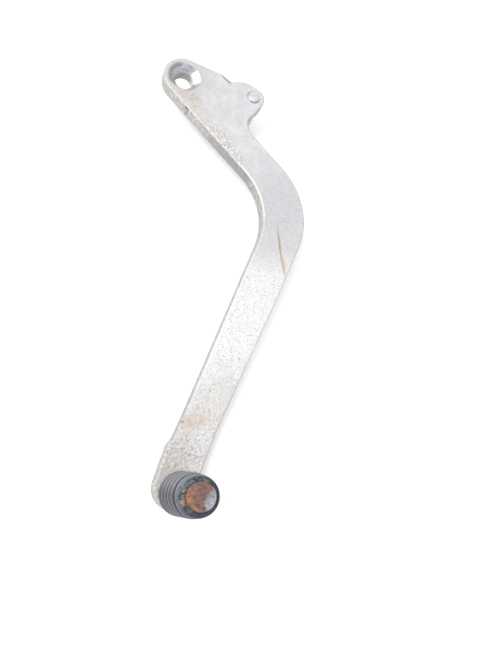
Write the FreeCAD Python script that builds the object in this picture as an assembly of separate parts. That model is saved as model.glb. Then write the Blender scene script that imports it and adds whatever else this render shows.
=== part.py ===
import FreeCAD, Part
import math
import os

# Gear shift lever of a motorcycle, in millimetres.
# Origin: pivot axis, on the cast back face of the arm. +Z: along the pivot, out of the front face, the
# way the toe peg points. -Y: from the pivot to the toe peg.

# Driving dimensions
lever_reach = 186.7          # pivot axis to peg axis
plate_thickness = 7.0        # the arm is one flat plate
eye_radius = 10.1            # round end about the pivot
front_edge_radius = 1.0      # rounding of the front outline
back_edge_radius = 0.8       # rounding of the back outline

# Pivot hole
pivot_shaft_radius = 4.0     # shouldered pivot bolt, 8 mm
pivot_clearance = 0.1
pivot_bore_radius = pivot_shaft_radius + pivot_clearance
countersink_radius = 7.3     # at the front face, 90 degrees included
countersink_depth = countersink_radius - pivot_bore_radius
pivot_seat_radius = 8.6      # machined seat on the back, proud of the cast face
pivot_seat_height = 0.4

# Linkage stud in the ear
stud_x = 33.6
stud_y = -3.8
stud_shank_radius = 3.0
stud_press = 0.0             # the shank is swaged tight in its hole
stud_hole_radius = stud_shank_radius + stud_press
stud_hole_chamfer = 0.45
stud_peen_height = 0.7
stud_collar_radius = 4.6
stud_collar_thickness = 2.0
stud_neck_radius = 2.9
ball_radius = 5.0
ball_reach = 11.0            # back face to ball centre
ball_flat_radius = 2.0       # small flat on the ball's end

# Toe peg
toe_x = 0.0
toe_y = -lever_reach
peg_radius = 5.0
peg_length = 37.8            # beyond the front face
peg_chamfer = 0.6
shank_radius = 4.0           # stepped shank through the arm
shank_press = 0.0            # pressed and peened over at the back
shank_hole_radius = shank_radius + shank_press
peen_radius = 5.4
peen_height = 0.9
peen_sink = 1.0              # the countersink that the peened end fills

# Rubber sleeve
rubber_stretch = 0.0         # the sleeve hugs the peg
rubber_bore_radius = peg_radius + rubber_stretch
rubber_wall = 3.0
rubber_radius = rubber_bore_radius + rubber_wall
rubber_swell = 0.7           # how much larger the sleeve is at the arm than at its last rib
rubber_length = 34.0
rib_count = 5
rib_pitch = 5.35
rib_depth = 0.75
collar_crest_radius = rubber_radius - 0.4
collar_end_radius = rubber_radius - 0.9
collar_crest = 2.7           # from the last groove to where the collar starts to round off

# Round toe end, a little nearer the pivot than the peg and to its left
toe_end_radius = 9.05
toe_end_x = toe_x - 1.2
toe_end_y = toe_y + 2.0

# Knee, where the bar turns towards the toe
knee_out = (0.3466 * lever_reach, -0.2989 * lever_reach)
knee_out_radius = 36.0
knee_in = (0.2292 * lever_reach, -0.3117 * lever_reach)
knee_in_radius = 31.0


def vector(x, y, z=0.0):
    return FreeCAD.Vector(x, y, z)


def tangent_point(outside, centre, radius, side):
    """Where the line from a point outside touches a circle; side is +1 or -1."""
    dx = outside[0] - centre[0]
    dy = outside[1] - centre[1]
    distance = math.hypot(dx, dy)
    angle = math.atan2(dy, dx) + side * math.acos(radius / distance)
    return (centre[0] + radius * math.cos(angle), centre[1] + radius * math.sin(angle))


def rounded_face(corners):
    """A face from (point, radius) corners, with an arc tangent to both sides at each corner."""
    starts, ends, middles = [], [], []
    for i, (point, radius) in enumerate(corners):
        here = vector(*point)
        to_last = (vector(*corners[i - 1][0]) - here).normalize()
        to_next = (vector(*corners[(i + 1) % len(corners)][0]) - here).normalize()
        half = to_last.getAngle(to_next) / 2
        setback = radius / math.tan(half)
        bisector = (to_last + to_next).normalize()
        starts.append(here + to_last * setback)
        ends.append(here + to_next * setback)
        middles.append(here + bisector * (radius / math.sin(half) - radius))
    edges = []
    for i, (point, radius) in enumerate(corners):
        if radius > 0:
            edges.append(Part.Arc(starts[i], middles[i], ends[i]).toShape())
        edges.append(Part.LineSegment(ends[i], starts[(i + 1) % len(corners)]).toShape())
    return Part.Face(Part.Wire(edges))


def arm_outline():
    """Corners of the arm, clockwise from the pivot eye."""
    eye = (0.0, 0.0)
    toe_end = (toe_end_x, toe_end_y)
    ear_shoulder = (stud_x - 15.7, stud_y + 9.4)
    flare_tip = (toe_x - 5.0, toe_y + 18.8)
    return [
        (tangent_point(ear_shoulder, eye, eye_radius, 1), 0.0),
        (ear_shoulder, 4.0),
        ((stud_x - 11.8, stud_y + 6.4), 2.5),
        ((stud_x - 3.8, stud_y + 7.9), 11.0),
        ((stud_x + 6.2, stud_y + 2.9), 4.8),
        ((stud_x + 5.1, stud_y - 3.2), 7.0),
        ((stud_x - 5.5, stud_y - 15.4), 7.5),
        (knee_out, knee_out_radius),
        ((toe_x + 44.2, 0.547 * toe_y), 200.0),
        ((toe_x + 14.65, toe_y + 22.6), 60.0),
        ((toe_x + 5.5, toe_y - 1.3), 0.0),
        (tangent_point(flare_tip, toe_end, toe_end_radius, 1), 0.0),
        (flare_tip, 1.3),
        ((toe_x - 2.5, toe_y + 21.8), 10.0),
        ((toe_x + 1.9, toe_y + 31.7), 30.0),
        (knee_in, knee_in_radius),
        (tangent_point(knee_in, eye, eye_radius, -1), 0.0),
    ]


def outline_edges(solid, height):
    """Edges of the solid that lie wholly at one height."""
    box = [(edge, edge.BoundBox) for edge in solid.Edges]
    return [edge for edge, b in box if abs(b.ZMin - height) < 1e-4 and abs(b.ZMax - height) < 1e-4]


def disc(x, y, radius, low, high):
    return Part.makeCylinder(radius, high - low, vector(x, y, low))


def cone(x, y, radius_low, radius_high, low, high):
    return Part.makeCone(radius_low, radius_high, high - low, vector(x, y, low))


def revolved(edges, x, y):
    """A solid of revolution about a line along Z through (x, y); edges are drawn in the XZ plane."""
    face = Part.Face(Part.Wire(edges))
    solid = face.revolve(vector(0, 0), vector(0, 0, 1), 360)
    solid.translate(vector(x, y))
    return solid


def chain(points):
    """Straight edges through (radius, height) points."""
    ends = [vector(r, 0, z) for r, z in points]
    return [Part.LineSegment(a, b).toShape() for a, b in zip(ends, ends[1:])]


def arc(start, middle, end):
    """One arc through three (radius, height) points."""
    return Part.Arc(*[vector(r, 0, z) for r, z in (start, middle, end)]).toShape()


def dome(radius, rim, tip):
    """One arc of a shallow spherical cap about the axis, from its rim's height to its tip."""
    height = tip - rim
    sphere = (radius ** 2 + height ** 2) / (2 * height)
    drop = abs(sphere) - math.sqrt(sphere ** 2 - (radius / 2) ** 2)
    return arc((radius, rim), (radius / 2, tip - math.copysign(drop, height)), (0, tip))


def lever_arm():
    front = plate_thickness
    plate = rounded_face(arm_outline()).extrude(vector(0, 0, front))
    plate = plate.fuse(disc(0, 0, eye_radius, 0, front))
    plate = plate.fuse(disc(toe_end_x, toe_end_y, toe_end_radius, 0, front)).removeSplitter()
    plate = plate.makeFillet(front_edge_radius, outline_edges(plate, front))
    plate = plate.makeFillet(back_edge_radius, outline_edges(plate, 0))
    plate = plate.fuse(disc(0, 0, pivot_seat_radius, -pivot_seat_height, 0))
    cuts = [
        disc(0, 0, pivot_bore_radius, -1, front + 1),
        cone(0, 0, pivot_bore_radius, countersink_radius + 1, front - countersink_depth, front + 1),
        disc(stud_x, stud_y, stud_hole_radius, -1, front + 1),
        cone(stud_x, stud_y, stud_hole_radius, stud_hole_radius + 2 * stud_hole_chamfer,
             front - stud_hole_chamfer, front + stud_hole_chamfer),
        disc(toe_x, toe_y, shank_hole_radius, -1, front + 1),
        cone(toe_x, toe_y, peen_radius, shank_hole_radius, 0, peen_sink),
    ]
    for cut in cuts:
        plate = plate.cut(cut)
    return plate.Solids[0]


def toe_peg_pin():
    front = plate_thickness
    end = front + peg_length
    body = chain([
        (0, -peen_height),
        (0, end),
        (peg_radius - peg_chamfer, end),
        (peg_radius, end - peg_chamfer),
        (peg_radius, front),
        (shank_radius, front),
        (shank_radius, peen_sink),
        (peen_radius, 0),
    ])
    return revolved(body + [dome(peen_radius, 0, -peen_height)], toe_x, toe_y)


def toe_peg_rubber():
    far = plate_thickness
    near = far + rubber_length
    last = far + rib_count * rib_pitch
    root = rubber_radius - rib_depth
    step = rubber_swell / rib_count
    edges = []
    for i in range(rib_count):
        low = far + i * rib_pitch
        high = low + rib_pitch
        swell = rubber_swell - i * step
        edges.append(arc((root + swell, low), (rubber_radius + swell - step / 2, (low + high) / 2),
                         (root + swell - step, high)))
    crest = last + collar_crest
    rise = 0.75 * (collar_crest_radius - root)
    fall = 0.22 * (collar_crest_radius - collar_end_radius)
    edges.append(arc((root, last), (root + rise, (last + crest) / 2), (collar_crest_radius, crest)))
    edges.append(arc((collar_crest_radius, crest), (collar_crest_radius - fall, (crest + near) / 2),
                     (collar_end_radius, near)))
    edges += chain([
        (collar_end_radius, near),
        (rubber_bore_radius, near),
        (rubber_bore_radius, far),
        (root + rubber_swell, far),
    ])
    return revolved(edges, toe_x, toe_y)


def linkage_ball_stud():
    front = plate_thickness
    peen_top = front + stud_peen_height
    neck_meets_ball = -ball_reach + math.sqrt(ball_radius ** 2 - stud_neck_radius ** 2)
    flat_height = -ball_reach - math.sqrt(ball_radius ** 2 - ball_flat_radius ** 2)
    collar_low = -stud_collar_thickness
    body = chain([
        (0, flat_height),
        (0, peen_top),
    ])
    body.append(dome(stud_shank_radius, front - stud_hole_chamfer, peen_top))
    body += chain([
        (stud_shank_radius, front - stud_hole_chamfer),
        (stud_shank_radius, 0),
        (stud_collar_radius, 0),
        (stud_collar_radius, collar_low),
        (stud_neck_radius, collar_low),
        (stud_neck_radius, neck_meets_ball),
    ])
    body.append(arc((stud_neck_radius, neck_meets_ball), (ball_radius, -ball_reach),
                    (ball_flat_radius, flat_height)))
    body += chain([(ball_flat_radius, flat_height), (0, flat_height)])
    return revolved(body, stud_x, stud_y)


pieces = {
    "lever_arm": lever_arm(),
    "toe_peg_pin": toe_peg_pin(),
    "toe_peg_rubber": toe_peg_rubber(),
    "linkage_ball_stud": linkage_ball_stud(),
}
os.makedirs("parts", exist_ok=True)
for name, shape in pieces.items():
    print(name, shape.isValid(), shape.ShapeType, len(shape.Solids), round(shape.Volume, 1))
    shape.exportStep("parts/" + name + ".step")
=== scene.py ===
import math

import bpy
from mathutils import Matrix, Vector


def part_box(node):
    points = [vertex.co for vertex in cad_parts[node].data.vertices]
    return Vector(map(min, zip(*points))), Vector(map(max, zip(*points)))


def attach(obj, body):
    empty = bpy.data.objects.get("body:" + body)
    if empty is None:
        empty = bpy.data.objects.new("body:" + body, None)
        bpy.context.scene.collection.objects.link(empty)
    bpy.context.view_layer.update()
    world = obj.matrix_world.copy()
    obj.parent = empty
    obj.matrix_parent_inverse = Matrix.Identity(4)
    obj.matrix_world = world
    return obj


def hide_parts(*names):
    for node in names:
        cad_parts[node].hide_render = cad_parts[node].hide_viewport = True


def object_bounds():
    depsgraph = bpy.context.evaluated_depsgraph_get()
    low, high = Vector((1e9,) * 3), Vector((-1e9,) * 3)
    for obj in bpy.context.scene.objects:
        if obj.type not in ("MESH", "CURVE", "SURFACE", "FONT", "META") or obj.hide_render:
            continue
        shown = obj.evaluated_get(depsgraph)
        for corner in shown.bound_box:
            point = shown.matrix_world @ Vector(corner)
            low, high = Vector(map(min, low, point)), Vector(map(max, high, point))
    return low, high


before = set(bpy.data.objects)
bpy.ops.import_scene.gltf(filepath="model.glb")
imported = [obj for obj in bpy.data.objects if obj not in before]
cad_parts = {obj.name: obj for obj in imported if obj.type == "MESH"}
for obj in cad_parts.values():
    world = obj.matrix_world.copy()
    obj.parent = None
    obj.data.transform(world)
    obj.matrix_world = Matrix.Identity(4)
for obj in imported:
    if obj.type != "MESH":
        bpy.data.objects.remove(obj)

# Looks of a motorcycle's gear shift lever, in metres, in the part's own frame: origin at the pivot axis on
# the back face, +Z out of the front face, and the toe peg towards -Y.

MM = 0.001
cad_low, cad_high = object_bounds()
pin_low, pin_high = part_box("toe_peg_pin")
sleeve_low, sleeve_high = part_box("toe_peg_rubber")
stud_low, stud_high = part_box("linkage_ball_stud")

# Places, from the frame
front = sleeve_low.z                 # the arm's front face
open_end = sleeve_high.z             # the sleeve's free end, where the peg stands out of it
peg = Vector(((pin_low.x + pin_high.x) / 2, (pin_low.y + pin_high.y) / 2))
stud = Vector(((stud_low.x + stud_high.x) / 2, (stud_low.y + stud_high.y) / 2))

# Driving dimensions
countersink_radius = 7.3 * MM        # at the front face
stud_radius = 3.0 * MM               # its peened end
peg_radius = 5.0 * MM
peg_chamfer = 0.6 * MM
shank_radius = 4.0 * MM              # the peg's, through the arm
peen_radius = 5.4 * MM
peen_sink = 1.0 * MM                 # depth of the countersink that the peened end fills
sleeve_radius = 8.0 * MM             # at the crest of the last rib
sleeve_swell = 0.7 * MM              # how much larger the sleeve is at the arm
groove = 0.75 * MM                   # depth between two ribs
pitch = 5.35 * MM                    # from one rib to the next
ribs = 5
collar_drop = 0.4 * MM               # the collar's crest stands this much inside the last rib's
sides = 128                          # of a round piece

paint_tone = 0.69                    # a surface's base colour over its look in the studio's light


def mm(*sizes):
    """Millimetres as metres."""
    return tuple(size * MM for size in sizes)


def beside(axis, x, y):
    """The point x and y millimetres from an upright axis."""
    return (axis.x + x * MM, axis.y + y * MM)


def grey(level):
    return (level, level, level)


# ---------------------------------------------------------------- colours, as they look

# The arm's face
cool_grey = (0.735, 0.73, 0.76)
cool_pale = (0.825, 0.82, 0.835)
eye_grey = (0.67, 0.65, 0.635)
# Painted shade at the knee, in two tones
knee_shade_dark = (0.63, 0.615, 0.65)
knee_shade_pale = (0.73, 0.715, 0.74)
toe_grey = (0.815, 0.79, 0.775)
toe_brown = (0.64, 0.595, 0.545)
toe_pale = (0.87, 0.87, 0.89)

# Its dust, dirt and worn skin
dust_brown = (0.70, 0.645, 0.605)
dust_hollow = (0.50, 0.44, 0.40)
dust_crest = (0.93, 0.91, 0.88)
smudge_brown = (0.56, 0.51, 0.48)
flake_hollow = (0.40, 0.35, 0.32)
flake_crest = (1.05, 1.02, 0.98)
grain_dirt = (0.36, 0.34, 0.34)
chip_dirt = (0.34, 0.31, 0.30)
chip_crest = (1.08, 1.06, 1.05)
soot = (0.30, 0.29, 0.29)

# Its stains
green_bloom = (0.84, 0.83, 0.77)
toe_tan = (0.66, 0.53, 0.39)
spot_brown = (0.30, 0.22, 0.15)
streak_tan = (0.64, 0.51, 0.37)
streak_brown = (0.47, 0.36, 0.25)

# Its walls and edges
wall_dark = (0.40, 0.395, 0.375)
wall_light = (0.70, 0.69, 0.665)
wall_blotch = (0.38, 0.375, 0.35)
wall_shade = (0.33, 0.325, 0.315)
nick_black = (0.16, 0.165, 0.15)
# Painted shade on the edges and in the notches
edge_shade = (0.42, 0.415, 0.42)
notch_shade = (0.26, 0.26, 0.245)
# Worn skin with a painted highlight on the rim
lit_worn_pale = (1.0, 0.98, 0.95)

# Its countersink
turned_dark = (0.54, 0.53, 0.575)
turned_light = (0.66, 0.65, 0.69)
turned_line = (0.28, 0.29, 0.35)
# A painted reflection, a painted pale side and a painted highlight on the cone
turned_blue_reflection = (0.40, 0.43, 0.52)
turned_lit_pale = (0.74, 0.72, 0.69)
turned_highlight = (1.25, 1.25, 1.23)
turned_stain = (0.62, 0.63, 0.56)
# Painted shade on the lip and in the throat, and the throat's painted lit side
lip_shade = (0.33, 0.30, 0.295)
throat_lit = (1.0, 1.0, 0.95)

# The stud
plating_dark = (0.70, 0.69, 0.73)
plating_light = (0.86, 0.85, 0.88)
plating_dull = (0.45, 0.44, 0.47)
# Painted shadow below the peened end
head_shadow = (0.10, 0.10, 0.125)

# The peg
steel_dark = (0.24, 0.25, 0.30)
steel_light = (0.52, 0.53, 0.60)
steel_rim = (0.60, 0.60, 0.64)
rust_dark = (0.13, 0.070, 0.060)
rust_light = (0.33, 0.18, 0.135)
rust_brown = (0.22, 0.145, 0.135)
rust_orange = (0.50, 0.22, 0.10)

# The sleeve
rubber_dark = (0.030, 0.034, 0.052)
rubber_light = (0.062, 0.070, 0.098)
# Painted light on the upper side, dust and a painted highlight on the crests, painted shade in the grooves
rubber_lit_top = (0.22, 0.225, 0.255)
rubber_crest_dust_and_highlight = (0.34, 0.345, 0.38)
rubber_groove_shade = (0.012, 0.014, 0.024)
scuff_pale = (0.20, 0.225, 0.25)
scuff_dark = (0.03, 0.035, 0.055)
yellow_bloom = (0.44, 0.39, 0.22)
rust_run = (0.36, 0.18, 0.10)


# ---------------------------------------------------------------- shader maths

class Value:
    """A socket of a node tree; arithmetic on it adds Math nodes."""

    def __init__(self, finish, socket):
        self.finish = finish
        self.socket = socket

    def math(self, operation, *values):
        return self.finish.add("ShaderNodeMath", {"operation": operation}, dict(enumerate(values)))

    def __add__(self, other):
        return self.math("ADD", self, other)

    def __sub__(self, other):
        return self.math("SUBTRACT", self, other)

    def __rsub__(self, other):
        return self.math("SUBTRACT", other, self)

    def __mul__(self, other):
        return self.math("MULTIPLY", self, other)

    def __truediv__(self, other):
        return self.math("DIVIDE", self, other)

    def __or__(self, other):
        return self.math("MAXIMUM", self, other)

    def __abs__(self):
        return self.math("ABSOLUTE", self)

    __radd__ = __add__
    __rmul__ = __mul__


class Finish:
    """A node material whose patterns read the part's own coordinates."""

    def __init__(self, name, **sockets):
        self.material = bpy.data.materials.new(name)
        self.material.use_nodes = True
        self.nodes = self.material.node_tree.nodes
        self.links = self.material.node_tree.links
        self.shader = self.nodes["Principled BSDF"]
        for socket, value in sockets.items():
            self.shader.inputs[socket.replace("_", " ")].default_value = value
        self.place = self.add("ShaderNodeTexCoord", output="Object")
        self.x, self.y, self.z = self.split(self.place)
        self.nx, self.ny, self.nz = self.split(self.add("ShaderNodeTexCoord", output="Normal"))

    def add(self, kind, settings=None, inputs=None, output=0):
        """Add a node: settings are its properties, inputs its sockets' values or links."""
        node = self.nodes.new(kind)
        for name, value in (settings or {}).items():
            setattr(node, name, value)
        for key, value in (inputs or {}).items():
            if isinstance(value, Value):
                self.links.new(value.socket, node.inputs[key])
            else:
                node.inputs[key].default_value = value
        return Value(self, node.outputs[output])

    def split(self, vector):
        """A vector's three parts."""
        first = self.add("ShaderNodeSeparateXYZ", None, {0: vector})
        return [Value(self, socket) for socket in first.socket.node.outputs]

    def length(self, vector):
        return self.add("ShaderNodeVectorMath", {"operation": "LENGTH"}, {0: vector}, output="Value")

    def flat_place(self):
        """The place with its height left out."""
        return self.add("ShaderNodeCombineXYZ", None, {0: self.x, 1: self.y})

    def smooth(self, value, low, high):
        """0 at low and 1 at high, with a soft start and end; low may be the larger."""
        return self.add("ShaderNodeMapRange", {"interpolation_type": "SMOOTHSTEP"},
                        {"Value": value, "From Min": low, "From Max": high})

    def noise(self, size, detail=3.0, roughness=0.55, stretch=(1, 1, 1)):
        """Soft random pattern of that size in metres; stretch makes it longer along an axis."""
        vector = self.add("ShaderNodeMapping", {"vector_type": "POINT"},
                          {"Vector": self.place, "Scale": [1 / (size * s) for s in stretch]})
        return self.add("ShaderNodeTexNoise", None,
                        {"Vector": vector, "Scale": 1.0, "Detail": detail, "Roughness": roughness})

    def ragged_by(self, size, amount):
        """A rough pattern about 0 that frays the edge of a mark."""
        return (self.noise(size, detail=4, roughness=0.7) - 0.5) * amount

    def cells(self, size):
        """Distance to the nearest of a scatter of points that far apart, in shares of that."""
        return self.add("ShaderNodeTexVoronoi", {"feature": "F1"},
                        {"Vector": self.place, "Scale": 1 / size, "Randomness": 1.0})

    def away(self, centre, half_size, turn=0.0, ragged=None):
        """Distance from a mark's centre in shares of its half size, so 1 is its edge; turn is in degrees."""
        turned = self.add("ShaderNodeMapping", {"vector_type": "TEXTURE"},
                          {"Vector": self.flat_place(), "Location": (*centre, 0),
                           "Rotation": (0, 0, math.radians(turn)), "Scale": (*half_size, 1)})
        distance = self.length(turned)
        return distance if ragged is None else distance + ragged

    def mark(self, centre, half_size, turn=0.0, ragged=None, core=0.5):
        """1 inside a mark's core, a share of its half size, and fading to 0 at its edge."""
        return self.smooth(self.away(centre, half_size, turn, ragged), 1.0, core)

    def mix(self, first, second, factor, blend="MIX"):
        """Colours mixed by a factor; a colour is a Value or (red, green, blue)."""
        colours = [c if isinstance(c, Value) else (*c, 1.0) for c in (first, second)]
        return self.add("ShaderNodeMix", {"data_type": "RGBA", "blend_type": blend},
                        {0: factor, 6: colours[0], 7: colours[1]}, output=2)

    def clouded(self, dark, light, pattern, low=0.35, high=0.65):
        """Two colours that change over with a pattern."""
        return self.mix(dark, light, self.smooth(pattern, low, high))

    def bump(self, height, depth, below=None):
        """A relief of that depth, on top of the one below."""
        inputs = {"Height": height, "Distance": depth, "Strength": 1.0}
        if below is not None:
            inputs["Normal"] = below
        return self.add("ShaderNodeBump", None, inputs)

    def paint(self, colour, roughness, metallic, normal=None):
        """Link the shader; colours are given as they look and paint_tone turns them into base colours."""
        toned = self.mix(colour, grey(paint_tone), 1.0, "MULTIPLY")
        sockets = {"Base Color": toned, "Roughness": roughness, "Metallic": metallic, "Normal": normal}
        for name, value in sockets.items():
            if isinstance(value, Value):
                self.links.new(value.socket, self.shader.inputs[name])
            elif value is not None:
                self.shader.inputs[name].default_value = value
        return self.material


# ---------------------------------------------------------------- the arm's finish

class CastArm(Finish):
    """The arm's material, with the patterns and places that its tones, stains and wear share."""

    def __init__(self):
        super().__init__("cast_aluminium")
        self.grain = self.noise(0.62 * MM, detail=2)
        self.chips = self.noise(1.15 * MM, detail=5, roughness=0.75)
        self.cloud = self.noise(5 * MM, detail=4, roughness=0.6)
        self.strokes = self.noise(0.75 * MM, detail=3, roughness=0.7, stretch=(1, 1, 3.5))
        self.ragged = self.ragged_by(2.2 * MM, 1.5)
        self.along = self.y + (self.cloud - 0.5) * 16 * MM + (self.grain - 0.5) * 9 * MM
        # The middle of the bar, where a painted highlight goes
        self.bright = self.beyond(-80, -96) * self.beyond(-150, -128)
        self.toe = self.beyond(-134, -160)
        self.coarse = self.beyond(-120, -165)
        self.side = self.smooth(abs(self.nz), 0.72, 0.30)
        self.dust = self.mark(mm(6.0, -18), mm(36, 7.8), turn=-51.5, ragged=self.ragged * 0.6, core=0.25)
        self.tan = self.mark(mm(5.6, -158.4), mm(8.4, 4.4), turn=8, ragged=self.ragged * 0.6, core=0.3)
        self.smudged = self.mark(mm(3.3, -170.0), mm(6.0, 6.5), ragged=self.ragged, core=0.1)
        self.pitted = self.pits()
        # Worn skin and a painted highlight along the front edge
        self.lit_worn_rim = self.lit_worn_edge()
        self.radius = self.length(self.flat_place())
        self.cone = self.smooth(self.radius, countersink_radius + 0.15 * MM, countersink_radius - 0.1 * MM)
        self.rings = self.turning_marks()

    def beyond(self, start, full):
        """0 at one place along the lever and 1 at the other, in millimetres, with a frayed edge."""
        return self.smooth(self.along, start * MM, full * MM)

    def pits(self):
        """Scattered pits, more of them in the smudged place at the toe."""
        single = self.smooth(self.cells(5.5 * MM) + self.ragged * 0.04, 0.13, 0.05)
        crowded = self.smooth(self.cells(2.6 * MM) + self.ragged * 0.06, 0.30, 0.14)
        return single | crowded * self.smudged

    def lit_worn_edge(self):
        """The front edge on the side towards the window, with a painted highlight: in flakes where the skin
        is worn, and all along the knee.
        """
        near_side = self.smooth(self.nx, -0.05, -0.25)
        rim = self.smooth(abs(self.nz), 0.78, 0.88) * self.smooth(abs(self.nz), 0.998, 0.975) * near_side
        # A painted highlight along the knee's edge
        knee = self.mark(mm(33.5, -54.0), mm(16, 4.0), turn=-62, ragged=self.ragged * 0.2, core=0.7)
        flakes = self.smooth(self.chips, 0.55, 0.61) * (0.6 - self.coarse * 0.45)
        return rim * (flakes | knee * self.smooth(self.grain, 0.32, 0.46))

    def turning_marks(self):
        """Rings about the pivot."""
        return self.add("ShaderNodeTexWave",
                        {"wave_type": "RINGS", "rings_direction": "Z", "wave_profile": "SIN"},
                        {"Vector": self.place, "Scale": 210.0, "Distortion": 3.5, "Detail": 3.0,
                         "Detail Scale": 500.0})


def broad_tones(f):
    """The face: cool and even by the pivot, with painted shade at the knee and a painted highlight in the
    middle, warmer at the toe.
    """
    face = f.clouded(cool_grey, cool_pale, f.cloud)
    eye = f.mark(mm(0, 0), mm(15, 15), ragged=f.ragged * 0.4, core=0.6)
    face = f.mix(face, eye_grey, eye * 0.65)
    # Painted shade: the face darker and mottled at the knee
    knee = f.mark(mm(44, -60), mm(26, 32), core=0.2)
    knee_shade_tone = f.clouded(knee_shade_dark, knee_shade_pale, f.chips)
    face = f.mix(face, knee_shade_tone, knee * 0.85)
    # Painted highlight: the middle of the bar nearly white
    face = f.mix(face, grey(0.97), f.bright)
    face = f.mix(face, toe_grey, f.toe)
    browner = f.smooth(f.x + f.ragged * MM, 8 * MM, -6 * MM) * f.beyond(-148, -172)
    face = f.mix(face, toe_brown, browner * 0.75)
    pale = f.mark(mm(9.5, -164), mm(4.5, 9), ragged=f.ragged)
    return f.mix(face, toe_pale, pale * 0.5)


def dusty_edge(f, face):
    """Dust, a smudge and flaked skin along the left edge, from the eye to the knee."""
    face = f.mix(face, dust_brown, f.dust * 0.75)
    smudge = f.mark(mm(2.0, -9.5), mm(8, 3.0), turn=-20, ragged=f.ragged)
    face = f.mix(face, smudge_brown, smudge * 0.5)
    face = f.mix(face, dust_hollow, f.smooth(f.chips, 0.47, 0.36) * f.dust * 0.6)
    face = f.mix(face, dust_crest, f.smooth(f.chips, 0.56, 0.64) * f.dust * 0.7)
    flaked = f.mark(mm(19.5, -33.0), mm(20, 7.8), turn=-49, ragged=f.ragged * 0.6, core=0.25)
    face = f.mix(face, flake_hollow, f.smooth(f.chips, 0.49, 0.40) * flaked * 0.7)
    return f.mix(face, flake_crest, f.smooth(f.chips, 0.53, 0.60) * flaked * 0.9)


def casting_grain(f, face):
    """Grain of the casting, coarser and dirtier towards the toe, with dark specks from the knee on."""
    dirt = 0.22 + f.coarse * 0.26 + f.bright * 0.25
    face = f.mix(face, grain_dirt, f.smooth(f.grain, 0.50, 0.30) * dirt)
    face = f.mix(face, grey(0.99), f.smooth(f.grain, 0.52, 0.72) * (0.35 + f.coarse * 0.50))
    face = f.mix(face, chip_dirt, f.smooth(f.chips, 0.46, 0.34) * f.coarse * 0.7)
    face = f.mix(face, chip_crest, f.smooth(f.chips, 0.55, 0.64) * f.coarse * 0.85)
    specks = f.smooth(f.cells(1.2 * MM), 0.34, 0.12) * f.smooth(f.noise(3 * MM), 0.40, 0.58)
    face = f.mix(face, grey(0.46), specks * f.beyond(-50, -90) * 0.75)
    return f.mix(face, soot, f.smooth(f.chips, 0.50, 0.40) * f.smudged * 0.55)


def stains(f, face):
    """Green bloom and a streaky tan stain at the toe, a rusty streak past the knee, and the pits."""
    tan_spot = f.mark(mm(0.4, -158.6), mm(1.3, 0.9), ragged=f.ragged * 0.3)
    green = f.mark(mm(16, -148), mm(7, 7), ragged=f.ragged, core=0.1)
    face = f.mix(face, green_bloom, green * 0.35)
    streaky = f.smooth(f.noise(0.9 * MM, detail=2, stretch=(1, 2.6, 1)), 0.40, 0.58)
    face = f.mix(face, toe_tan, f.tan * (0.35 + streaky * 0.55))
    face = f.mix(face, spot_brown, tan_spot * 0.7)
    thin = f.mark(mm(44.9, -77.5), mm(0.85, 11.5), turn=6, ragged=f.ragged * 0.3, core=0.2)
    wide = f.mark(mm(46.4, -87.5), mm(1.3, 7.0), turn=8, ragged=f.ragged * 0.5, core=0.3)
    face = f.mix(face, streak_tan, wide * 0.85)
    face = f.mix(face, streak_brown, thin * 0.85)
    return f.mix(face, soot, f.pitted * 0.5)


def side_wall(f):
    """Walls with strokes across their thickness, with painted shade before the knee, nicked and scored by
    the eye.
    """
    blotch = f.noise(3.5 * MM, detail=3)
    wall = f.clouded(wall_dark, wall_light, f.strokes, 0.36, 0.64)
    wall = f.mix(wall, wall_blotch, f.smooth(blotch, 0.50, 0.32) * 0.4)
    # Painted shade on the left wall before the knee
    shaded = f.mark(mm(22, -39), mm(20, 8), turn=-53, core=0.5)
    wall = f.mix(wall, wall_shade, shaded * 0.62)
    nick = f.mark(mm(1.0, -15.1), mm(1.0, 1.0), core=0.6) * f.smooth(f.z, 4.6 * MM, 5.4 * MM)
    scores = f.mark(mm(2.8, -16.6), mm(2.2, 1.6), turn=-50, core=0.6)
    scored = scores * f.smooth(f.noise(0.8 * MM, stretch=(1, 1, 12)), 0.52, 0.44) * 0.65
    return f.mix(wall, nick_black, nick | scored)


def edge_shade_and_wear(f, colour):
    """Painted shade on the edges away from the window and in the ear's two notches, and the worn rim with
    its painted highlight.
    """
    # Painted shade on the edges away from the window
    edge = f.smooth(abs(f.nz), 0.20, 0.50) * f.smooth(abs(f.nz), 0.995, 0.95)
    away_side = f.smooth(f.nx + f.ny * 0.8, 0.10, 0.40)
    colour = f.mix(colour, edge_shade, edge * away_side * (0.45 + (f.chips - 0.5) * 1.2))
    # Painted shade in the ear's two notches
    upper = f.mark(mm(19.5, 3.6), mm(5.5, 1.3), turn=-45, ragged=f.ragged * 0.2, core=0.4)
    lower = f.mark(mm(34.5, -14.2), mm(7.5, 1.5), turn=44, ragged=f.ragged * 0.2, core=0.4)
    colour = f.mix(colour, notch_shade, (upper | lower) * 0.75)
    # Worn skin and a painted highlight along the rim
    return f.mix(colour, lit_worn_pale, f.lit_worn_rim)


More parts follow.
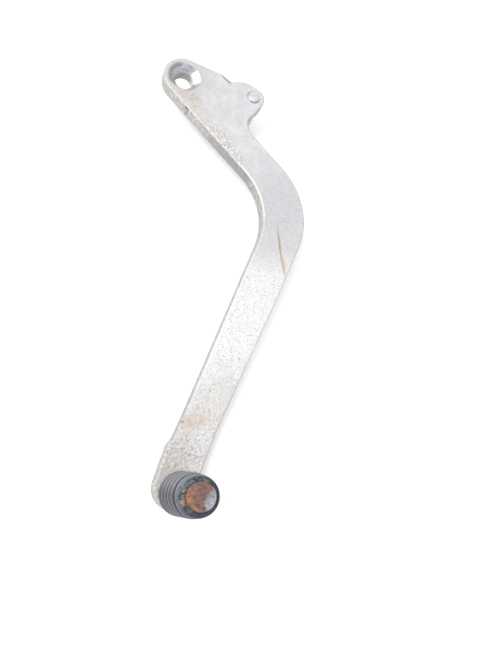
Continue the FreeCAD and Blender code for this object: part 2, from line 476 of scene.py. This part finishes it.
def turned_countersink(f, colour):
    """Streaky turned cone with painted light and shade: a painted highlight, a painted pale side and a
    painted reflection, painted shade on its lip and in its throat.
    """
    turned = f.clouded(turned_dark, turned_light, f.noise(1.5 * MM))
    streaks = f.smooth(f.rings, 0.35, 0.9) * f.smooth(f.noise(2.6 * MM), 0.42, 0.58)
    turned = f.mix(turned, turned_line, streaks * 0.85)
    # A painted reflection: a bluish patch on the cone
    blue = f.mark(mm(3.4, 4.2), mm(3.2, 2.0), turn=-35, ragged=f.ragged * 0.5)
    turned = f.mix(turned, turned_blue_reflection, blue * 0.6)
    # Painted light: the cone paler on its low side
    low_side = f.mark(mm(0.5, -6.0), mm(9.0, 5.0), turn=-8, core=0.4)
    turned = f.mix(turned, turned_lit_pale, low_side * 0.9)
    # A painted highlight on the cone's right side
    highlight_side = f.mark(mm(5.9, 1.3), mm(4.0, 3.7), turn=12, ragged=f.ragged * 0.25, core=0.7)
    turned = f.mix(turned, turned_highlight, highlight_side)
    stained = f.mark(mm(4.2, -5.0), mm(1.6, 1.3), ragged=f.ragged * 0.3)
    turned = f.mix(turned, turned_stain, stained * 0.8)
    colour = f.mix(colour, turned, f.cone)
    # Painted shade on the left part of the lip
    dark_side = f.mark(mm(-6.4, 2.2), mm(6.4, 9.5), turn=-22, ragged=f.ragged * 0.3, core=0.5)
    lip = f.smooth(abs(f.radius - countersink_radius), 1.3 * MM, 0.3 * MM)
    colour = f.mix(colour, lip_shade, lip * dark_side * 0.75)
    # Painted shade deep in the bore, with a painted lit side towards +X and -Y
    throat = f.smooth(f.z, 5.0 * MM, 3.6 * MM) * f.smooth(f.radius, 5.2 * MM, 4.4 * MM)
    throat_tone = f.mix(grey(0.46), throat_lit, f.smooth(f.x - f.y, 0, 5 * MM))
    return f.mix(colour, throat_tone, throat)


def cast_aluminium():
    """Bare cast arm: gritty skin, stains and wear on top, painted highlights and shade, and the turned
    countersink.
    """
    f = CastArm()
    face = broad_tones(f)
    face = dusty_edge(f, face)
    face = casting_grain(f, face)
    face = stains(f, face)
    colour = f.mix(face, side_wall(f), f.side)
    colour = edge_shade_and_wear(f, colour)
    colour = turned_countersink(f, colour)
    skin = f.bump(f.grain, 0.06 * MM)
    skin = f.bump(f.chips * (0.3 + f.coarse), 0.14 * MM, skin)
    skin = f.bump(f.strokes * f.side, 0.12 * MM, skin)
    skin = f.bump(1 - f.pitted, 0.15 * MM, skin)
    skin = f.bump(f.rings * f.cone, 0.03 * MM, skin)
    roughness = 0.60 + (f.grain - 0.5) * 0.25 - f.lit_worn_rim * 0.2 - f.cone * 0.2 + f.toe * 0.1
    metallic = 0.35 - (f.tan | f.dust) * 0.2 - f.side * 0.1
    return f.paint(colour, roughness, metallic, skin)


# ---------------------------------------------------------------- the other finishes

def plated_steel():
    """The stud: dull plating with fine scratches, a peened end with a painted shadow on its low side, and a
    polished ball.
    """
    f = Finish("plated_steel")
    grain = f.noise(0.5 * MM, detail=3)
    cloud = f.noise(2.5 * MM, detail=3)
    colour = f.clouded(plating_dark, plating_light, cloud)
    colour = f.mix(colour, plating_dull, f.smooth(grain, 0.44, 0.30) * 0.4)
    head = f.smooth(f.z, front - 1.5 * MM, front - 0.6 * MM)
    rim = f.smooth(f.away(stud, (stud_radius, stud_radius)), 0.80, 0.95) * head
    # Painted shadow: a dark crescent on the low side of the peened end
    low_side = f.mark(beside(stud, 0.7, -2.6), mm(3.6, 2.6), turn=12, core=0.5)
    colour = f.mix(colour, head_shadow, rim * low_side * 0.9)
    colour = f.mix(colour, plating_dull, rim * 0.35)
    skin = f.bump(grain, 0.03 * MM)
    skin = f.bump(cloud, 0.08 * MM, skin)
    roughness = 0.42 + head * 0.2 + (grain - 0.5) * 0.3
    return f.paint(colour, roughness, 0.8 - head * 0.5, skin)


def rust_colours(f, flakes, ragged):
    """Dark red rust with browner clouds, and fresh orange rust on the peg's left and low sides."""
    rust = f.clouded(rust_dark, rust_light, flakes, 0.36, 0.62)
    rust = f.mix(rust, rust_brown, f.smooth(f.noise(2.0 * MM), 0.45, 0.6) * 0.6)
    left = f.mark(beside(peg, -4.3, 0.2), mm(1.9, 3.6), turn=-12, ragged=ragged * 0.9, core=0.2)
    low = f.mark(beside(peg, -2.2, -3.9), mm(0.9, 1.6), turn=35, ragged=ragged * 0.7)
    return f.mix(rust, rust_orange, (left | low * 0.8) * f.smooth(flakes, 0.40, 0.52) * 0.85)


def rusted_steel():
    """The peg: bare steel, with its exposed end rusted except on one side."""
    f = Finish("rusted_steel")
    flakes = f.noise(1.2 * MM, detail=5, roughness=0.7)
    grain = f.noise(0.4 * MM, detail=3)
    ragged = f.ragged_by(1.3 * MM, 1.6)
    steel = f.clouded(steel_dark, steel_light, flakes, 0.38, 0.62)
    clean = f.mark(beside(peg, 4.1, -1.7), mm(3.8, 5.0), turn=-22, ragged=ragged * 0.7)
    rusted = (1 - clean) * f.smooth(f.z, open_end - 3 * MM, open_end)
    colour = f.mix(steel, rust_colours(f, flakes, ragged), rusted)
    rim = f.smooth(f.away(peg, (peg_radius, peg_radius)), 0.90, 0.97)
    right = f.mark(beside(peg, 4.6, -1.5), mm(3.4, 6.2), core=0.5)
    tip = f.smooth(f.z, pin_high.z - 1.2 * MM, pin_high.z - 0.5 * MM)
    colour = f.mix(colour, steel_rim, rim * right * tip * 0.8)
    skin = f.bump(flakes * (0.3 + rusted), 0.25 * MM)
    skin = f.bump(grain, 0.04 * MM, skin)
    return f.paint(colour, 0.50 + rusted * 0.35, 0.5 - rusted * 0.45, skin)


def ribbed_tones(f, grain, cloud):
    """Dark blue-black rubber: painted light on its upper side, dust and a painted highlight on its crests,
    painted shade in its grooves.
    """
    colour = f.clouded(rubber_dark, rubber_light, cloud)
    # Painted light: the upper side lighter
    colour = f.mix(colour, rubber_lit_top, f.smooth(f.ny, 0.0, 0.6) * 0.95)
    turns = (f.z - front) / pitch
    angle = turns * math.pi
    wave = abs(angle.math("SINE", angle))
    on_ribs = f.smooth(turns, ribs + 0.02, ribs - 0.02)
    crest = f.smooth(wave, 0.95, 1.0) * on_ribs
    collar_crest = f.smooth(abs(turns - 5.62), 0.16, 0.02)
    # Painted highlight along the collar's crest at the lower left
    collar_highlight = f.mark(beside(peg, -3.5, -6.5), mm(6.0, 3.5), turn=-38, core=0.3)
    crests = crest | collar_crest * (0.45 + collar_highlight * 0.8)
    # Dust and a painted highlight on the crests
    colour = f.mix(colour, rubber_crest_dust_and_highlight, crests * (0.46 + (grain - 0.5) * 1.4))
    # Painted shade in the grooves
    return f.mix(colour, rubber_groove_shade, f.smooth(wave, 0.65, 0.25) * on_ribs * 0.9)


def stained_end(f, colour, end):
    """The open end: scuffed about the peg, with two yellow blooms and a rusty run on its left."""
    ragged = f.ragged_by(1.0 * MM, 1.6)
    patches = f.noise(1.5 * MM, detail=4, roughness=0.65)
    scuffed = f.mark(beside(peg, -6.0, 1.0), mm(4.6, 7.0), turn=8, ragged=ragged * 0.6, core=0.3)
    inner = f.smooth(f.away(peg, mm(7.0, 7.0), ragged=ragged * 0.1), 1.0, 0.82)
    scuffed = scuffed | inner * f.smooth(f.x - peg.x - (f.y - peg.y) * 0.7, 2.5 * MM, -2.0 * MM)
    colour = f.mix(colour, scuff_pale, scuffed * end * f.smooth(patches, 0.47, 0.56) * 0.9)
    colour = f.mix(colour, scuff_dark, f.smooth(patches, 0.48, 0.41) * scuffed * end * 0.9)
    high = f.mark(beside(peg, -5.6, 1.3), mm(1.1, 1.5), ragged=ragged * 0.8, core=0.3)
    low = f.mark(beside(peg, -5.9, -1.9), mm(0.9, 1.3), ragged=ragged * 0.8, core=0.3)
    bloom = (high | low) * end * f.smooth(patches, 0.42, 0.52)
    colour = f.mix(colour, yellow_bloom, bloom * 0.8)
    rusty = f.mark(beside(peg, -5.0, -0.4), mm(1.0, 3.8), turn=-6, ragged=ragged * 0.9, core=0.3)
    return f.mix(colour, rust_run, rusty * end * f.smooth(patches, 0.45, 0.52) * 0.85)


def worn_rubber():
    """The sleeve: dark moulded rubber with painted light and shade, dusty on its crests, scuffed and stained
    at its open end.
    """
    f = Finish("worn_rubber")
    grain = f.noise(0.5 * MM, detail=3)
    cloud = f.noise(2.2 * MM, detail=4)
    end = f.smooth(f.z, open_end - 4.5 * MM, open_end - 2.0 * MM)
    colour = stained_end(f, ribbed_tones(f, grain, cloud), end)
    skin = f.bump(grain, 0.05 * MM)
    skin = f.bump(cloud, 0.12 * MM, skin)
    roughness = 0.50 + (cloud - 0.5) * 0.3 + end * 0.2
    return f.paint(colour, roughness, 0.0, skin)


def pale_table():
    """Nearly even white paper."""
    f = Finish("pale_floor", Specular_IOR_Level=0.2)
    paper = f.mix(grey(1.40), grey(1.43), f.noise(0.05))
    return f.paint(paper, 0.7, 0.0)


# ---------------------------------------------------------------- modelling

def only(piece):
    """Select one piece and nothing else."""
    bpy.ops.object.select_all(action="DESELECT")
    piece.select_set(True)
    bpy.context.view_layer.objects.active = piece


def ring_stack(name, centre, profile):
    """A round skin grown ring by ring from one circle; profile holds (radius, height) pairs."""
    radius, height = profile[0]
    bpy.ops.object.select_all(action="DESELECT")
    bpy.ops.mesh.primitive_circle_add(vertices=sides, radius=radius, location=(*centre, height))
    piece = bpy.context.object
    piece.name = name
    bpy.ops.object.mode_set(mode="EDIT")
    bpy.ops.mesh.select_all(action="SELECT")
    for next_radius, next_height in profile[1:]:
        bpy.ops.mesh.extrude_region_move(TRANSFORM_OT_translate={"value": (0, 0, next_height - height)})
        share = next_radius / radius
        bpy.ops.transform.resize(value=(share, share, 1), center_override=(*centre, next_height))
        radius, height = next_radius, next_height
    bpy.ops.mesh.select_all(action="SELECT")
    bpy.ops.mesh.remove_doubles(threshold=0.002 * MM)
    bpy.ops.mesh.normals_make_consistent(inside=False)
    bpy.ops.object.mode_set(mode="OBJECT")
    bpy.ops.object.transform_apply(location=True, rotation=True, scale=True)
    return piece


def close_tips(piece, centre, tip, heights):
    """Merge each of the small rings of radius tip at those heights to one point on the axis."""
    bpy.ops.object.mode_set(mode="EDIT")
    for height in heights:
        bpy.ops.mesh.select_all(action="DESELECT")
        bpy.ops.object.mode_set(mode="OBJECT")
        for vertex in piece.data.vertices:
            near_axis = math.hypot(vertex.co.x - centre.x, vertex.co.y - centre.y) < tip * 1.1
            vertex.select = near_axis and abs(vertex.co.z - height) < tip
        bpy.ops.object.mode_set(mode="EDIT")
        bpy.ops.mesh.merge(type="CENTER")
    bpy.ops.mesh.select_all(action="SELECT")
    bpy.ops.mesh.normals_make_consistent(inside=False)
    bpy.ops.object.mode_set(mode="OBJECT")


def roughen(piece, name, size, depth, weight):
    """Push the skin in and out by a cloud pattern; weight(point) is 0 to 1 at each point."""
    group = piece.vertex_groups.new(name=name)
    for vertex in piece.data.vertices:
        group.add([vertex.index], weight(vertex.co), "REPLACE")
    clouds = bpy.data.textures.new(name, "CLOUDS")
    clouds.noise_scale = size
    clouds.noise_depth = 3
    displace = piece.modifiers.new(name, "DISPLACE")
    displace.texture = clouds
    displace.texture_coords = "LOCAL"
    displace.strength = depth
    displace.mid_level = 0.5
    displace.vertex_group = name
    only(piece)
    bpy.ops.object.modifier_apply(modifier=name)


def finish_piece(piece, material, node):
    """Smooth it, give it its material and put it in its node's place."""
    piece.data.materials.clear()
    piece.data.materials.append(material)
    only(piece)
    bpy.ops.object.shade_smooth_by_angle(angle=math.radians(35))
    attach(piece, "root")
    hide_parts(node)


def coat(node, material):
    """Give a carried-over node its material."""
    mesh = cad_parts[node].data
    mesh.materials.clear()
    mesh.materials.append(material)


def ramp(value, low, high):
    """0 at low and 1 at high."""
    return min(1.0, max(0.0, (value - low) / (high - low)))


# ---------------------------------------------------------------- pieces

def rib_profile(steps):
    """Soft ribs that shrink away from the arm, as (radius, height) pairs."""
    profile = []
    for i in range(ribs * steps + 1):
        turn = i / steps
        rise = abs(math.sin(math.pi * turn)) ** 0.7
        swell = sleeve_swell * (1 - turn / ribs)
        profile.append((sleeve_radius - groove * (1 - rise) + swell, front + turn * pitch))
    return profile


def collar_profile(steps):
    """From the last groove up to the collar's crest, then in towards the open end."""
    last = front + ribs * pitch
    reach = (open_end - last) * 0.985
    root = sleeve_radius - groove
    crest = sleeve_radius - collar_drop
    crest_share = 0.38                # where the crest is along the collar
    taper = 0.5 * MM
    profile = []
    for i in range(1, steps + 1):
        share = i / steps
        rise = math.sin(math.pi * min(share, crest_share) / (2 * crest_share))
        past_crest = max(0.0, (share - crest_share) / (1 - crest_share))
        profile.append((root + (crest - root) * rise - taper * past_crest ** 1.6, last + share * reach))
    return profile


def toe_rubber():
    """Ribbed sleeve: five soft ribs, then a plain collar that tapers to a worn open end."""
    steps = 12                        # rings on each rib, and on the collar
    end_rings = 6
    bore = peg_radius                 # it hugs the peg
    profile = rib_profile(steps) + collar_profile(steps)
    rim = profile[-1][0]
    flat = rim - 0.35 * MM            # where the rounded rim meets the end face
    inner = bore + 0.25 * MM
    profile += [(rim - 0.12 * MM, open_end - 0.03 * MM), (flat, open_end)]
    for i in range(1, end_rings + 1):
        profile.append((flat + (inner - flat) * i / end_rings, open_end))
    profile += [(bore, open_end - 0.3 * MM), (bore, (front + open_end) / 2), (bore, front), profile[0]]
    sleeve = ring_stack("ribbed_toe_rubber", peg, profile)

    def end_wear(point):
        return ramp(point.z, open_end - 2.5 * MM, open_end) * ramp(peg.x + 4 * MM - point.x, 0, 8 * MM)

    roughen(sleeve, "end_wear", 1.3 * MM, -0.45 * MM, end_wear)
    finish_piece(sleeve, worn_rubber(), "toe_peg_rubber")


def pin_profile(tip):
    """The peg from the middle of its peened back to the middle of its free end."""
    back = pin_low.z
    end = pin_high.z
    cover = open_end - 1 * MM         # the sleeve hides the peg up to here
    chamfer_start = end - peg_chamfer
    end_radius = peg_radius - peg_chamfer
    peen_rings, body_rings, end_rings = 8, 8, 16
    profile = []
    for i in range(peen_rings + 1):
        share = i / peen_rings
        profile.append((tip + (peen_radius - tip) * share, back * (1 - share ** 2)))
    profile += [(shank_radius, peen_sink), (shank_radius, front), (peg_radius, front), (peg_radius, cover)]
    for i in range(1, body_rings + 1):
        profile.append((peg_radius, cover + (chamfer_start - cover) * i / body_rings))
    profile += [(peg_radius - peg_chamfer * 0.5, end - peg_chamfer * 0.45), (end_radius, end)]
    for i in range(1, end_rings + 1):
        profile.append((end_radius + (tip - end_radius) * i / end_rings, end))
    return profile


def toe_pin():
    """Peg with its peened end at the back and a rust-pitted free end."""
    tip = 0.3 * MM
    pin = ring_stack("rusted_toe_pin", peg, pin_profile(tip))
    close_tips(pin, peg, tip, (pin_low.z, pin_high.z))

    def rust(point):
        clean = ramp(point.x - peg.x, 1.5 * MM, 3.5 * MM) * ramp(peg.y - point.y, -1 * MM, 1 * MM)
        return ramp(point.z, open_end, open_end + 1 * MM) * (1 - 0.8 * clean)

    roughen(pin, "rust", 0.9 * MM, -0.35 * MM, rust)
    finish_piece(pin, rusted_steel(), "toe_peg_pin")


# ---------------------------------------------------------------- studio

def camera():
    """Above and to the left of the toe, looking at the middle of the bar."""
    eye = Vector((-50.51, -178.25, 247.5)) * MM
    target = Vector((28.8, -118.7, 7.0)) * MM
    up_hint = Vector((-0.0612, 0.9734, 0.2208))
    forward = (target - eye).normalized()
    right = forward.cross(up_hint).normalized()
    up = right.cross(forward)
    lens = bpy.data.cameras.new("camera")
    lens.sensor_width = 36.0
    lens.lens = 32.78
    lens.clip_start = 0.01
    view = bpy.data.objects.new("camera", lens)
    view.matrix_world = Matrix.Translation(eye) @ Matrix((right, up, -forward)).transposed().to_4x4()
    bpy.context.scene.collection.objects.link(view)
    bpy.context.scene.camera = view


def floor():
    """A pale table: the lever lies on its ball and on the peened end of its peg."""
    clearance = 0.25 * MM
    low_at_ball = cad_low.z - clearance
    low_at_peen = pin_low.z - clearance
    slope = (low_at_ball - low_at_peen) / (stud.y - peg.y)
    height = low_at_ball - slope * stud.y
    bpy.ops.object.select_all(action="DESELECT")
    bpy.ops.mesh.primitive_plane_add(size=8.0, location=(0, 0, height), rotation=(math.atan(slope), 0, 0))
    bpy.ops.object.transform_apply(location=True, rotation=True, scale=True)
    table = bpy.context.object
    table.name = "floor"
    table.data.materials.append(pale_table())


def window():
    """One square soft light, up and to the left, aimed at the lever's middle."""
    middle = (cad_low + cad_high) / 2
    offset = Vector((-0.47, 0.0, 0.80))
    light = bpy.data.lights.new("window", "AREA")
    light.shape = "SQUARE"
    light.size = 0.32
    light.energy = 4.8
    lamp = bpy.data.objects.new("window", light)
    lamp.location = middle + offset
    lamp.rotation_mode = "QUATERNION"
    lamp.rotation_quaternion = (-offset).to_track_quat("-Z", "Y")
    bpy.context.scene.collection.objects.link(lamp)


def surroundings():
    """Even white light from all round, and plain colours."""
    world = bpy.data.worlds.new("studio")
    world.use_nodes = True
    background = world.node_tree.nodes["Background"]
    background.inputs["Color"].default_value = (1.0, 1.0, 1.0, 1.0)
    background.inputs["Strength"].default_value = 1.12
    bpy.context.scene.world = world
    bpy.context.scene.view_settings.view_transform = "Standard"


camera()
floor()
surroundings()
window()
coat("lever_arm", cast_aluminium())
coat("linkage_ball_stud", plated_steel())
toe_rubber()
toe_pin()
